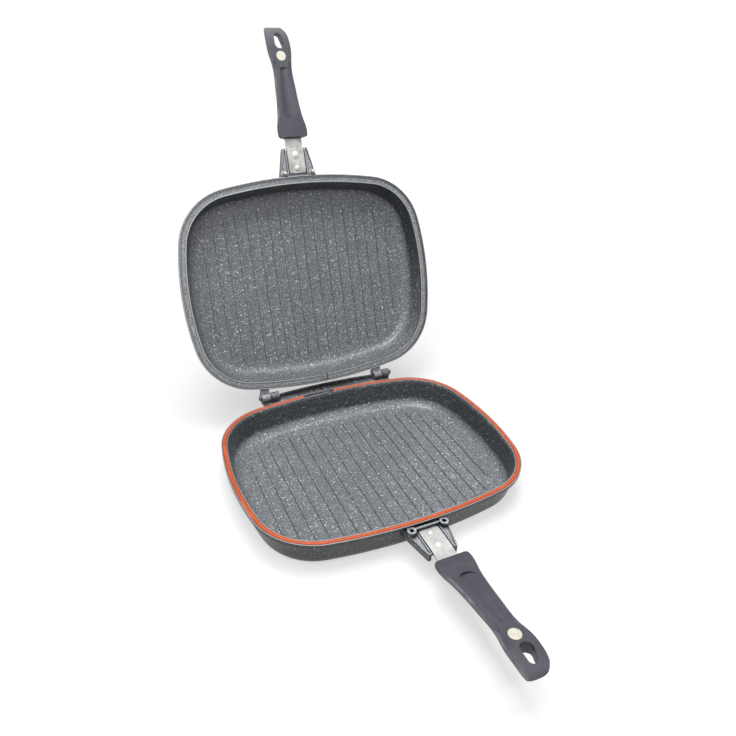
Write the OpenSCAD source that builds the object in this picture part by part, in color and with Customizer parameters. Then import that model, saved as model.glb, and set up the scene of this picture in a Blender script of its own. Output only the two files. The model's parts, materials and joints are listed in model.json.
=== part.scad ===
// Double sided flip pan: two shallow cast pans hinged at the back, each with
// its own riveted handle. It is drawn open, the way it stands in use.
// Millimetres. X runs along the hinge, Y points back to the hinge, Z is up and
// the lower pan stands on Z = 0. Pans and handles are drawn from the parting
// plane where the two rims meet, Y = 0 in the middle of the pan.

/* [Outline] */
// full width of the lid across the handles
pan_width = 320; // [240:1:400]
// full depth of the lid, front to back
pan_depth = 256.4; // [200:0.2:320]
// radius of the two long sides, front and back
long_radius = 565; // [400:5:900]
// radius of the two short sides
side_radius = 336; // [250:2:600]
// radius of the corners
corner_radius = 72; // [60:1:90]

/* [Pan shells] */
// inside depth of the lower pan below its rim
lower_floor_depth = 34.2; // [24:0.1:50]
// inside depth of the lid above its rim
lid_floor_depth = 31; // [20:0.5:50]
// thickness of the lower floor; its weight keeps the open pan standing
lower_floor_thickness = 3.8; // [2.5:0.1:5]
// thickness of the lid floor
lid_floor_thickness = 2.5; // [2:0.1:5]
// thickness of the walls
wall_thickness = 2.9; // [2.5:0.1:4]
// lean of the walls from upright
wall_draft = 12; // [6:0.5:15]
// inner radius where the wall runs into the floor
floor_fillet = 12; // [8:0.5:16]

/* [Rims] */
// width of the flat top of each rim
rim_width = 6.4; // [5.4:0.1:8]
// height of the upright band of each rim
rim_height = 5; // [4:0.1:8]
// gap left between the two metal rims when shut
rim_gap = 0.4; // [0.3:0.1:1]
// how far the lid skirt stands out past the lower rim
skirt_reach = 2; // [1.6:0.1:3]
// thickness of the lid skirt
skirt_thickness = 1.2; // [0.8:0.1:1.2]
// how far the skirt hangs below the parting plane
skirt_drop = 1.1; // [0.5:0.1:1.5]
// width of the gasket groove
groove_width = 4.4; // [3:0.1:5]
// depth of the gasket groove
groove_depth = 2.6; // [1.5:0.1:3]
// how far the gasket stands out of its groove
gasket_crown = 0.8; // [0.4:0.1:1.2]
// room over the gasket inside the shut lid
gasket_room = 0.3; // [0.2:0.05:0.6]
// where the bare length of groove starts, left of the middle of the back
bare_left = 35; // [10:1:60]
// where the gasket starts again, right of the middle of the back
bare_right = 5.1; // [4:0.1:30]

/* [Ribs] */
// number of grill ribs in each pan
rib_count = 18; // [8:2:24]
// spacing of the ribs
rib_pitch = 14.2; // [10:0.1:20]
// width of one rib
rib_width = 2.6; // [2:0.1:5]
// height of a rib above the floor
rib_height = 1.3; // [0.6:0.1:3]
// flat floor left beyond the end of each rib
rib_margin = 8; // [3:0.5:20]

/* [Steam channel] */
// width of the channel over the back rim
channel_width = 6.5; // [4:0.1:7.5]
// how far the channel sits left of the middle
channel_shift = 0.8; // [0:0.1:2]
// depth of the channel below the rim
channel_depth = 2.6; // [1.5:0.1:3]

/* [Hinge] */
// distance of the hinge axis behind the middle of the pan
hinge_back = 133.7; // [130:0.1:140]
// height of the hinge axis above the parting plane
hinge_height = 2.4; // [0:0.1:5]
// how far the lid leans back when it rests open
open_angle = 110.7; // [80:0.1:120]
// middle of the left hinge, from the middle of the pan
hinge_left = 74.2; // [60:0.1:90]
// middle of the right hinge
hinge_right = 76.8; // [60:0.1:90]
// width of one hinge over both knuckles
hinge_width = 21.5; // [16:0.1:30]
// side gap between the two knuckles
knuckle_gap = 1; // [0.5:0.1:2]
// outer diameter of the knuckles
knuckle_diameter = 10; // [8:0.1:12]
// diameter of the hinge pin
pin_diameter = 4; // [3:0.1:5]
// radial play of the pin in the lid knuckle
pin_play = 0.08; // [0.03:0.01:0.1]
// diameter of the round head of a pin
pin_head = 6; // [5:0.1:8]
// length of the round head of a pin
pin_head_length = 3.6; // [2:0.1:5]
// gap at the open stop
stop_gap = 0.3; // [0.2:0.05:1]

/* [Back ledge] */
// depth of the ledge behind the outline
ledge_reach = 15.5; // [12:0.1:20]
// how far the top of the ledge lies below the rim
ledge_drop = 4; // [3.5:0.1:8]
// thickness of the ledge
ledge_thickness = 3; // [2:0.1:5]
// thickness of the lip along the back of the ledge
lip_thickness = 2; // [1:0.1:3]
// height of that lip above the ledge
lip_height = 3.4; // [1:0.1:3.6]

/* [Handle bracket] */
// distance from the middle of the pan to the tips of the arms
bracket_reach = 161.5; // [160.5:0.5:175]
// half width over the arms at the pan
arm_root = 22.6; // [18:0.1:28]
// width of one arm at its tip
arm_tip_width = 4.1; // [3.9:0.1:6]
// height of the arms
arm_height = 8.5; // [6:0.1:12]
// space between the parting plane and the arms
arm_drop = 4; // [3:0.1:6]
// side gap between the tang and each arm
arm_gap = 1.2; // [0.5:0.1:2]
// thickness of the tongue that the tang is riveted to
tongue_thickness = 4; // [3:0.1:6]
// distance of the two eyes from the middle line
eye_spread = 17.65; // [15:0.05:20]
// distance of the eyes from the middle of the pan
eye_reach = 132.1; // [130:0.1:136]
// outer diameter of an eye
eye_diameter = 9; // [7:0.1:10]
// diameter of the hole in an eye
eye_hole = 4.4; // [4:0.1:5]
// diameter of a locating peg
peg_diameter = 3.4; // [2.5:0.1:3.6]
// how far the pegs enter the eyes when shut
peg_entry = 1.8; // [1:0.1:4]

/* [Tang and rivets] */
// width of the steel tang
tang_width = 21; // [16:0.5:24]
// thickness of the tang
tang_thickness = 2; // [1.5:0.1:3]
// distance from the middle of the pan to the start of the tang
tang_start = 131.7; // [131.2:0.1:134]
// radius of the two corners of the tang next to the pan
tang_corner = 2.4; // [1:0.1:4]
// length of the tang inside the grip
tang_embed = 46; // [30:1:60]
// width of the tang inside the grip
tang_inner_width = 14; // [10:0.5:16]
// distance of the first rivet from the middle of the pan
rivet_first = 137.4; // [136.5:0.1:142]
// distance between the rivets
rivet_pitch = 15.4; // [11:0.1:16]
// diameter of the rivet shank
rivet_shank = 4; // [3:0.1:5]
// diameter of the head of the rivet next to the pan
inner_rivet_head = 7.2; // [6:0.1:8]
// diameter of the head of the outer rivet
outer_rivet_head = 9.4; // [6:0.1:10]
// height of the rivet head
rivet_rise = 1.6; // [1:0.1:1.9]

/* [Grip] */
// upward tilt of both grips
grip_tilt = 5.15; // [0:0.05:10]
// distance from the tips of the arms to the bend of the handles
bend_gap = 1.2; // [0.8:0.1:6]
// length of tang left bare between that bend and the grip
grip_gap = 11.6; // [8:0.1:16]
// length of a grip
grip_length = 129.6; // [128:0.1:160]
// half width at the front of the flat face
front_half = 17.9; // [14:0.1:22]
// half width in the middle of the flat face
neck_half = 11.4; // [9.5:0.1:15]
// half width at the waist of the flat face
waist_half = 7.4; // [6:0.1:10]
// half width of the flat face at the hanging hole
tail_half = 13.4; // [11:0.1:17]
// half width of the body at the waist
waist_body = 11.4; // [9:0.1:14]
// distance of the sharp end corner from the middle line
end_corner = 13.6; // [11:0.1:15]
// half width of the square end on its rounded side
end_round = 6.4; // [5:0.1:12]
// thickness at the front
front_thickness = 13.4; // [12.6:0.1:18]
// thickness in the middle and at the tail
tail_thickness = 12.4; // [11.6:0.1:16]
// level of the back at the very end
end_thickness = 10.4; // [9:0.1:11]
// how far the flat face falls away toward the end
end_fall = 3.8; // [1:0.1:5]
// space between the flat face and the plane where the grips would meet
face_gap = 0.25; // [0.1:0.05:0.5]
// radius along the edge of the flat face
face_edge = 1; // [0.5:0.1:2]
// distance from the front of the grip to the middle of the waist
waist_place = 78; // [60:1:83]
// depth of the thumb groove
thumb_depth = 1.8; // [0.8:0.1:3]
// distance from the front of the grip to the thumb groove
thumb_start = 22; // [15:0.5:30]
// length of the thumb groove
thumb_length = 60; // [40:1:62]
// diameter of the front end of the thumb groove
thumb_front = 18; // [12:0.5:20]
// diameter of the tail end of the thumb groove
thumb_tail = 9.6; // [7:0.2:11]
// distance from the front of the grip to the hanging hole
hole_start = 104; // [103:0.5:105]
// length of the hanging hole
hole_length = 19; // [14:0.5:20]
// diameter of the wide end of the hanging hole
hole_wide = 11.4; // [8:0.2:12]
// diameter of the narrow end of the hanging hole
hole_narrow = 9; // [6:0.2:11]
// turn of the hanging hole against the grip
hole_turn = 8; // [0:1:10]

/* [Magnets and screws] */
// distance from the front of the grip to the magnet
magnet_place = 95.2; // [90:0.1:98]
// diameter of the cap over the magnet
cap_diameter = 11.6; // [9:0.1:12]
// thickness of the cap
cap_thickness = 1; // [0.6:0.1:2]
// diameter of the magnet
magnet_diameter = 10; // [6:0.1:11]
// thickness of the magnet
magnet_thickness = 4; // [2:0.1:6]
// distance from the front of the grip to the screw in its outer face
screw_place = 34; // [20:0.5:40]
// diameter of the screw
screw_diameter = 4; // [3:0.1:5]
// diameter of the screw head
screw_head = 7.5; // [6:0.1:9]
// thickness of the screw head
screw_head_thickness = 2.4; // [1.5:0.1:4]
// thickness of grip left between the tang and the screw head
screw_seat = 2; // [1.2:0.1:3]

/* [Hidden] */
$fn = 64;

coating = [0.36, 0.37, 0.39];
silicone = [0.93, 0.40, 0.22];
steel = [0.80, 0.80, 0.78];
bakelite = [0.30, 0.31, 0.35];
nickel = [0.90, 0.88, 0.82];

half_width = pan_width / 2;
half_depth = pan_depth / 2;
parting = lower_floor_depth + lower_floor_thickness;

// the corner arc touches a long side and a short side, so its centre lies
// where two circles about their centres cross
long_centre = [0, half_depth - long_radius];
side_centre = [half_width - side_radius, 0];
long_left = long_radius - corner_radius;
side_left = side_radius - corner_radius;
centres_apart = norm(side_centre - long_centre);
along = (side_centre - long_centre) / centres_apart;
reach_in = (pow(long_left, 2) - pow(side_left, 2) + pow(centres_apart, 2)) / (2 * centres_apart);
corner_centre = long_centre + reach_in * along
    + sqrt(pow(long_left, 2) - pow(reach_in, 2)) * [along[1], -along[0]];
long_angle = atan(corner_centre[0] / (corner_centre[1] - long_centre[1]));
side_angle = atan(corner_centre[1] / (corner_centre[0] - side_centre[0]));

// insets from the outline
rim_outer = -skirt_reach;
rim_inner = rim_outer - rim_width;
groove_middle = rim_outer - rim_width / 2;
sweep_reach = -corner_radius + 12;
plate_edge = sweep_reach + 15;
lid_land = rim_gap;
lid_inner = rim_inner - 0.6;

tilt_start = bracket_reach + bend_gap;
pin_bore = pin_diameter + 2 * pin_play;
knuckle_width = (hinge_width - knuckle_gap) / 2;
tang_face = arm_drop;
grip_front = grip_gap;
tang_plane = front_thickness / 2 - tang_thickness / 2;
arm_inner = tang_width / 2 + arm_gap;
arm_tip = arm_inner + arm_tip_width;
arm_start = half_depth + rim_inner + 1.7;

// ---- the outline and its sweeps ----

module sector(centre, radius, middle, half)
    translate([centre[0], centre[1], 0]) rotate([0, 0, middle - half])
        rotate_extrude(angle = 2 * half, $fn = 144) translate([radius, 0]) children();

// carries one wall profile round the eight arcs of the pan: X is the distance
// outside the outline, Y becomes the height. The corners are slimmer by a hair
// and run on a little into the sides, so that the arcs join as solids.
hair = 0.02;
run_on = 0.25;
fillet_steps = 12;

module round_the_pan() {
    corner_middle = (side_angle + 90 - long_angle) / 2;
    corner_half = (90 - long_angle - side_angle) / 2 + run_on;
    for (turn = [0, 180]) rotate([0, 0, turn]) {
        let ($slim = 0) sector(long_centre, long_radius, 90, long_angle) children();
        let ($slim = 0) sector(side_centre, side_radius, 0, side_angle) children();
        let ($slim = hair) sector(corner_centre, corner_radius, corner_middle,
            corner_half) children();
        let ($slim = hair) sector([-corner_centre[0], corner_centre[1]], corner_radius,
            180 - corner_middle, corner_half) children();
    }
}

function seam_point(centre, radius, angle) =
    [centre[0] + radius * cos(angle), centre[1] + radius * sin(angle)];

// the middle of a floor; it stands a hair proud of the floor round it
module plate(depth, thickness, inset) {
    a = seam_point(side_centre, side_radius + inset, 0.9 * side_angle);
    b = seam_point(long_centre, long_radius + inset, 90 - 0.9 * long_angle);
    translate([0, 0, depth - hair]) linear_extrude(thickness + 2 * hair)
        polygon([a, b, [-b[0], b[1]], [-a[0], a[1]], -a, -b, [b[0], -b[1]], [a[0], -a[1]]]);
}

// half length of the outline at x, moved in by inset
function reach_at(x, inset) =
    let (seam = seam_point(long_centre, long_radius + inset, 90 - long_angle)[0])
    abs(x) < seam
        ? long_centre[1] + sqrt(pow(long_radius + inset, 2) - x * x)
        : corner_centre[1] + sqrt(max(0, pow(corner_radius + inset, 2)
            - pow(abs(x) - corner_centre[0], 2)));

// everything inside one sloping wall and its round foot, as a half section
module bowl_section(top, floor_level, foot_x, radius, reach) {
    turn = [for (i = [0 : fillet_steps]) wall_draft + i * (90 - wall_draft) / fillet_steps];
    curve = [for (a = turn) [foot_x + radius * cos(a), floor_level - radius * (1 - sin(a))]];
    polygon(concat([[curve[0][0] + (curve[0][1] - top) * tan(wall_draft), top]], curve,
        [[reach, floor_level], [reach, top]]));
}

// where the flat floor starts, for a wall that leans in from the rim
function foot(depth, inner) = inner - floor_fillet * cos(wall_draft)
    - (depth - floor_fillet + floor_fillet * sin(wall_draft)) * tan(wall_draft);

// wall, rim and outer floor, drawn as the lid; both pans use it
module shell_section(depth, thickness, outer, inner, under) {
    foot_x = foot(depth, inner);
    edge = outer - $slim;
    wall = inner + wall_thickness;
    difference() {
        union() {
            translate([-$slim, -$slim]) bowl_section(2 * $slim, depth + thickness,
                foot_x, floor_fillet + wall_thickness, sweep_reach);
            polygon([[edge, under + $slim], [edge, rim_height - 1 - $slim],
                [wall - 1.2, rim_height - 1 - $slim + (outer - wall)],
                [wall - 2.2, rim_height - 1 - $slim + (outer - wall)],
                [wall - 2.2, under + $slim]]);
        }
        translate([$slim, $slim])
            bowl_section(-5, depth, foot_x, floor_fillet, sweep_reach - 2);
    }
}

module ribs(depth, inner) {
    foot_x = foot(depth, inner);
    for (i = [0 : rib_count - 1]) {
        x = (i - (rib_count - 1) / 2) * rib_pitch;
        end = reach_at(x, foot_x - rib_margin) - rib_width / 2;
        translate([x, 0, depth - rib_height]) linear_extrude(rib_height + 1)
            polygon([for (s = [0, 180]) for (a = [s : 15 : s + 180])
                [rib_width / 2 * cos(a), (s == 0 ? end : -end) + rib_width / 2 * sin(a)]]);
    }
}

module opened() {
    translate([0, hinge_back, parting + hinge_height]) rotate([-open_angle, 0, 0])
        translate([0, -hinge_back, -hinge_height]) children();
}

module standing() translate([0, 0, parting]) children();

// ---- handle bracket, the same casting on both pans ----

// side 1 lies above the parting plane, side -1 below it
module level(side, from, to) {
    low = side > 0 ? from : -to;
    translate([0, 0, low]) linear_extrude(to - from) children();
}

module arm_outline(inset) {
    lean = (arm_root - arm_tip) / (bracket_reach - half_depth);
    for (s = [-1, 1]) {
        polygon([
            [s * (arm_inner + inset), -arm_start - 3 * inset],
            [s * (arm_root + (half_depth - arm_start) * lean - inset), -arm_start - 3 * inset],
            [s * (arm_tip - inset), -bracket_reach + 1.6 + inset],
            [s * (arm_tip - inset - 0.6), -bracket_reach + inset],
            [s * (arm_inner + inset + 0.6), -bracket_reach + inset],
            [s * (arm_inner + inset), -bracket_reach + 0.8 + inset]]);
    }
}

module bracket(side, tongue_half) {
    difference() {
        level(side, arm_drop, arm_drop + arm_height) arm_outline(0);
        level(side, arm_drop - 1, arm_drop + 1) arm_outline(1.3);
        for (s = [-1, 1]) translate([s * eye_spread, -eye_reach, -50])
            cylinder(d = side > 0 ? peg_diameter : eye_hole, h = 100);
    }
    for (s = [-1, 1]) difference() {
        level(side, arm_drop, arm_drop + 5) translate([s * eye_spread, -eye_reach])
            circle(d = eye_diameter - 0.6);
        translate([s * eye_spread, -eye_reach, -50])
            cylinder(d = side > 0 ? peg_diameter : eye_hole, h = 100);
    }
    difference() {
        level(side, arm_drop + tang_thickness, arm_drop + tang_thickness + tongue_thickness)
            translate([-tongue_half, -bracket_reach + 3])
                square([2 * tongue_half, bracket_reach - 3 - arm_start]);
        for (i = [0, 1]) translate([0, -rivet_first - i * rivet_pitch, -50])
            cylinder(d = rivet_shank, h = 100);
    }
}

// ---- lower pan ----

module ledge_section() {
    translate([rim_outer - 5, -ledge_drop - ledge_thickness])
        square([ledge_reach - rim_outer + 5, ledge_thickness]);
}

module lip_section() {
    translate([ledge_reach - lip_thickness, -ledge_drop - 1])
        square([lip_thickness, lip_height + 1]);
}

module back_sector(x_left, x_right) {
    far = long_radius + ledge_reach;
    translate([long_centre[0], long_centre[1], 0]) rotate([0, 0, 90 - asin(x_right / far)])
        rotate_extrude(angle = asin(x_right / far) - asin(x_left / far), $fn = 144)
            translate([long_radius, 0]) children();
}

// the place of one hinge: its left end
module each_hinge() {
    for (x = [-hinge_left, hinge_right]) translate([x - hinge_width / 2, 0, 0]) children();
}

module lower_knuckles() {
    each_hinge() translate([hinge_width - knuckle_width, 0, 0]) {
        translate([0, hinge_back, hinge_height]) rotate([0, 90, 0])
            cylinder(d = knuckle_diameter, h = knuckle_width);
        translate([0, hinge_back - knuckle_diameter / 2 + 2, -ledge_drop - 1])
            cube([knuckle_width, knuckle_diameter - 2, hinge_height + ledge_drop + 1]);
    }
}

// the pad that the heel of the lid arm comes down on
module stop_pads() {
    each_hinge() {
        translate([0, hinge_back, hinge_height]) rotate([-open_angle, 0, 0])
            translate([0, heel_face + stop_gap, knuckle_diameter / 2 + 0.6])
                cube([knuckle_width, 4, heel_length - knuckle_diameter / 2 - 0.4]);
        translate([0, hinge_back + 5.2, -ledge_drop - 1])
            cube([knuckle_width, 3.8, 2.6]);
    }
}

heel_face = 1.6;
heel_length = 9;

module lower_pan() {
    color(coating) standing() {
        difference() {
            union() {
                mirror([0, 0, 1]) {
                    round_the_pan() difference() {
                        shell_section(lower_floor_depth, lower_floor_thickness, rim_outer,
                            rim_inner, 0);
                        translate([groove_middle - groove_width / 2 - $slim, -1])
                            square([groove_width + 2 * $slim, groove_depth + 1 + $slim]);
                    }
                    plate(lower_floor_depth, lower_floor_thickness, plate_edge);
                    ribs(lower_floor_depth, rim_inner);
                }
                back_sector(-hinge_left - hinge_width / 2, hinge_right + hinge_width / 2)
                    ledge_section();
                back_sector(-hinge_left + hinge_width / 2 + 0.5,
                    hinge_right - hinge_width / 2 - 1) lip_section();
                lower_knuckles();
                stop_pads();
                bracket(-1, tang_width / 2 - 0.7);
                // the two eyes, their necks and the bar between them
                for (s = [-1, 1]) {
                    translate([s * eye_spread, -eye_reach, -arm_drop - 3])
                        cylinder(d = eye_diameter, h = arm_drop + 3);
                    translate([s * eye_spread - 2.5, -eye_reach + 3, -arm_drop - 2])
                        cube([5, eye_reach - 3 - half_depth - rim_outer + 1, arm_drop + 0.4]);
                }
                translate([-eye_spread, -half_depth - 2.9, -arm_drop - 4])
                    cube([2 * eye_spread, 2.2, arm_drop + 2.8]);
                // chute that carries the steam channel out over the ledge
                translate([-channel_shift - channel_width / 2 - 1, half_depth + rim_outer - 2,
                    -ledge_drop - 0.5])
                    cube([channel_width + 2, ledge_reach - rim_outer - 3.5,
                        ledge_drop - 1.2]);
            }
            translate([-channel_shift - channel_width / 2, half_depth + rim_inner - 5,
                -channel_depth])
                cube([channel_width, ledge_reach - rim_inner + 4.5 - lip_thickness,
                    channel_depth + 20]);
            for (s = [-1, 1]) translate([s * eye_spread, -eye_reach, -50])
                cylinder(d = eye_hole, h = 60);
            for (x = [-hinge_left, hinge_right])
                translate([x - hinge_width, hinge_back, hinge_height]) rotate([0, 90, 0])
                    cylinder(d = pin_diameter, h = 2 * hinge_width);
        }
    }
}

module gasket() {
    color(silicone) standing() difference() {
        round_the_pan() translate([groove_middle, 0]) {
            half = groove_width / 2 - $slim;
            crown_radius = (pow(groove_width / 2, 2) + pow(gasket_crown, 2)) / (2 * gasket_crown);
            translate([-half, -groove_depth + $slim])
                square([2 * half, groove_depth - 0.3 - $slim]);
            intersection() {
                translate([-half, -1]) square([2 * half, gasket_crown + 2]);
                translate([0, gasket_crown - crown_radius - $slim])
                    circle(r = crown_radius, $fn = 96);
            }
        }
        translate([-bare_left, 0, -20]) cube([bare_left + bare_right, pan_depth, 40]);
    }
}

// ---- lid ----

module lid_arms() {
    each_hinge() difference() {
        union() {
            translate([0, hinge_back, hinge_height]) rotate([0, 90, 0])
                cylinder(d = knuckle_diameter, h = knuckle_width);
            translate([0, half_depth - 10, lid_land + 0.4])
                cube([knuckle_width, hinge_back - half_depth + 10,
                    hinge_height + knuckle_diameter / 2 - lid_land - 0.4]);
            translate([0, hinge_back - knuckle_diameter / 2, hinge_height])
                cube([knuckle_width, knuckle_diameter / 2 + heel_face, heel_length]);
        }
        translate([-1, hinge_back, hinge_height]) rotate([0, 90, 0])
            cylinder(d = pin_bore, h = hinge_width);
    }
}

module lid_shape() {
    difference() {
        union() {
            round_the_pan() difference() {
                shell_section(lid_floor_depth, lid_floor_thickness, 0, lid_inner,
                    -skirt_drop);
                translate([-80, -5]) square([80 - skirt_thickness + $slim, 5 + lid_land + $slim]);
                translate([groove_middle - groove_width / 2 - 0.2 - $slim, -5])
                    square([groove_width + 0.4 + 2 * $slim,
                        5 + gasket_crown + gasket_room + $slim]);
            }
            plate(lid_floor_depth, lid_floor_thickness, plate_edge);
            ribs(lid_floor_depth, lid_inner);
            bracket(1, arm_inner + 1);
            lid_arms();
        }
        // notch over the steam channel
        translate([-channel_shift - channel_width / 2 - 0.7, half_depth + lid_inner - 4, -5])
            cube([channel_width + 1.4, 4 - lid_inner - skirt_thickness - 0.4, 5 + 2.2]);
        for (s = [-1, 1]) translate([s * eye_spread, -eye_reach, -5])
            cylinder(d = eye_diameter + 1.6, h = 5 + lid_land);
    }
}

module upper_pan() color(coating) opened() lid_shape();

// ---- pins and pegs ----

module hinge_pin(x, head_side) {
    length = hinge_width + 1.6;
    color(steel) standing() translate([x, hinge_back, hinge_height]) {
        rotate([0, 90, 0]) translate([0, 0, -length / 2])
            cylinder(d = pin_diameter, h = length);
        translate([head_side * (hinge_width / 2 + 0.3), 0, 0]) rotate([0, 90 * head_side, 0])
            intersection() {
                cylinder(d = pin_head, h = pin_head_length);
                translate([0, 0, pin_head_length - pin_head / 2 - 0.4])
                    sphere(d = pin_head + 0.8);
            }
    }
}

module hinge_pin_left() hinge_pin(-hinge_left, -1);

module hinge_pin_right() hinge_pin(hinge_right, 1);

module peg(s) {
    color(steel) opened() translate([s * eye_spread, -eye_reach, 0]) {
        translate([0, 0, peg_diameter / 2 - peg_entry])
            cylinder(d = peg_diameter, h = arm_drop + 5 + peg_entry - peg_diameter / 2);
        translate([0, 0, peg_diameter / 2 - peg_entry]) sphere(d = peg_diameter);
    }
}

module locating_peg_left() peg(-1);

module locating_peg_right() peg(1);

// ---- handles ----

// the plane where the two flat faces would meet, from the bend outward
module on_handle_plane()
    translate([0, -tilt_start, 0]) rotate([-grip_tilt, 0, 0]) children();

function tilted(s, depth) = [-tilt_start - s * cos(grip_tilt) + depth * sin(grip_tilt),
    s * sin(grip_tilt) + depth * cos(grip_tilt)];

// side view of the tang: level on the bracket, a step, then along the grip
module tang_side(side, extra) {
    face = side * tang_face;
    back = side * (tang_face + tang_thickness);
    near = side * (tang_plane - extra);
    far = side * (tang_plane + tang_thickness + extra);
    polygon([[-tang_start, face], [-tilt_start + 4, face], tilted(2, near),
        tilted(grip_front + tang_embed + extra, near),
        tilted(grip_front + tang_embed + extra, far), tilted(2, far),
        [-tilt_start + 4, back], [-tang_start, back]]);
}

module tang_plate(side, extra) {
    step = grip_front + 8;
    for (part = [[tang_width, -60, step], [tang_inner_width, step - 2, 100]]) intersection() {
        rotate([90, 0, 90]) translate([0, 0, -part[0] / 2 - extra])
            linear_extrude(part[0] + 2 * extra) tang_side(side, extra);
        translate([-50, -tilt_start - part[2] - extra, -100])
            cube([100, part[2] - part[1] + 2 * extra, 200]);
    }
}

module tang(side) {
    difference() {
        tang_plate(side, 0);
        for (i = [0, 1]) translate([0, -rivet_first - i * rivet_pitch, -50])
            cylinder(d = rivet_shank, h = 100);
        on_handle_plane() translate([0, -grip_front - screw_place, -50])
            cylinder(d = screw_diameter, h = 100);
        for (s = [-1, 1]) translate([s * (tang_width / 2 - tang_corner),
            -tang_start - tang_corner, -50]) difference() {
                translate([s > 0 ? 0 : -9, 0, 0]) cube([9, 9, 100]);
                translate([0, 0, -1]) cylinder(r = tang_corner, h = 102);
            }
    }
}

module lower_tang() color(steel) standing() tang(-1);

module upper_tang() color(steel) opened() tang(1);

// domed head on the tang, shank, and a flat closing head under the tongue
module rivet(side, i) {
    head = i == 0 ? inner_rivet_head : outer_rivet_head;
    cap_radius = (pow(head / 2, 2) + pow(rivet_rise, 2)) / (2 * rivet_rise);
    translate([0, -rivet_first - i * rivet_pitch, 0]) mirror([0, 0, side > 0 ? 0 : 1]) {
        intersection() {
            translate([0, 0, tang_face - rivet_rise]) cylinder(d = head, h = rivet_rise);
            translate([0, 0, tang_face - rivet_rise + cap_radius]) sphere(r = cap_radius);
        }
        translate([0, 0, tang_face - 0.5])
            cylinder(d = rivet_shank, h = tang_thickness + tongue_thickness + 1);
        translate([0, 0, tang_face + tang_thickness + tongue_thickness])
            cylinder(d = rivet_shank + 2.6, h = 1.2);
    }
}

module lower_rivet_inner() color(steel) standing() rivet(-1, 0);

module lower_rivet_outer() color(steel) standing() rivet(-1, 1);

module upper_rivet_inner() color(steel) opened() rivet(1, 0);

module upper_rivet_outer() color(steel) opened() rivet(1, 1);

// ---- grips ----

// place along the grip, width of the flat face left and right of its middle
// line, how far the body stands out past it, level of the face, level of the
// back; the rows between are drawn as a smooth curve
grip_rows = [
    [0, front_half - 2.4, front_half - 2.4, 0.8, 0, front_thickness - 1.6],
    [0.8, front_half - 0.9, front_half - 0.9, 0.5, 0, front_thickness - 0.6],
    [2.4, front_half - 0.2, front_half - 0.2, 0.4, 0, front_thickness],
    [8, front_half, front_half, 0.5, 0, front_thickness],
    [26, (front_half + 2 * neck_half) / 3 + 0.4, (front_half + 2 * neck_half) / 3 + 0.4, 1.3, 0,
        (front_thickness + tail_thickness) / 2],
    [46, neck_half + 0.2, neck_half + 0.2, 1.6, 0, tail_thickness],
    [waist_place - 16, neck_half - 1, neck_half - 1, 1.9, 0, tail_thickness],
    [waist_place, waist_half, waist_half, waist_body - waist_half, 0, tail_thickness],
    [waist_place + 6, waist_half + 0.7, waist_half + 0.7, waist_body - waist_half - 0.3, 0,
        tail_thickness],
    [waist_place + 13, tail_half - 2, tail_half - 2, 1.4, 0, tail_thickness],
    [waist_place + 26, tail_half + 0.5, tail_half, 1, 0, tail_thickness],
    [grip_length - 15, tail_half + 0.7, tail_half - 0.6, 1, end_fall * 0.16, tail_thickness],
    [grip_length - 7, end_corner + 0.5, (tail_half + end_round) / 2 + 1.2, 1, end_fall * 0.5,
        tail_thickness - 0.4],
    [grip_length - 1.2, end_corner, end_round + 0.6, 0.8, end_fall * 0.9, end_thickness + 0.9],
    [grip_length, end_corner - 0.8, end_round - 0.6, 0.4, end_fall + 0.4, end_thickness - 0.4]];

row_steps = 3;
row_total = len(grip_rows) - 1;

function row(i) = grip_rows[max(0, min(row_total, i))];

// slope at a row that never overshoots its neighbours
function slope(i, k) = let (
        before = (row(i)[k] - row(i - 1)[k]) / max(0.001, row(i)[0] - row(i - 1)[0]),
        after = (row(i + 1)[k] - row(i)[k]) / max(0.001, row(i + 1)[0] - row(i)[0]))
    i == 0 ? after : i == row_total ? before
        : before * after <= 0 ? 0 : 2 * before * after / (before + after);

function between(i, t, k) = let (span = row(i + 1)[0] - row(i)[0])
    k == 0 ? row(i)[0] + t * span
    : (2 * t * t * t - 3 * t * t + 1) * row(i)[k] + (t * t * t - 2 * t * t + t) * span * slope(i, k)
        + (3 * t * t - 2 * t * t * t) * row(i + 1)[k] + (t * t * t - t * t) * span * slope(i + 1, k);

// half of one cross section, from the flat face round to the back
function half_section(w, out, low, high) = let (
        wb = w + out, thick = high - low, belly = 0.22 * thick, n = 2 / 2.2)
    concat([[w - face_edge, low], [w - 0.3 * face_edge, low + 0.3 * face_edge],
        [w, low + face_edge], [w + out * 0.65, low + face_edge + (belly - face_edge) * 0.5]],
        [for (a = [0 : 15 : 75]) [wb * pow(cos(a), n),
            low + belly + (thick - belly) * pow(sin(a), n)]]);

function grip_section(s) = let (left = half_section(s[1], s[3], s[4], s[5]),
        right = half_section(s[2], s[3], s[4], s[5]))
    concat(right, [[0, s[5]]],
        [for (i = [len(left) - 1 : -1 : 0]) [-left[i][0], left[i][1]]]);

// skins closed rings of points, each ring at its own place along the grip
module loft(places, rings) {
    m = len(rings[0]);
    n = len(places);
    polyhedron(
        [for (i = [0 : n - 1]) for (p = rings[i]) [p[0], -places[i], p[1]]],
        concat(
            [[for (j = [0 : m - 1]) j]],
            [for (i = [0 : n - 2]) for (j = [0 : m - 1]) each
                [[i * m + j, (i + 1) * m + j, (i + 1) * m + (j + 1) % m],
                 [i * m + j, (i + 1) * m + (j + 1) % m, i * m + (j + 1) % m]]],
            [[for (j = [m - 1 : -1 : 0]) (n - 1) * m + j]]),
        convexity = 6);
}

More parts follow.
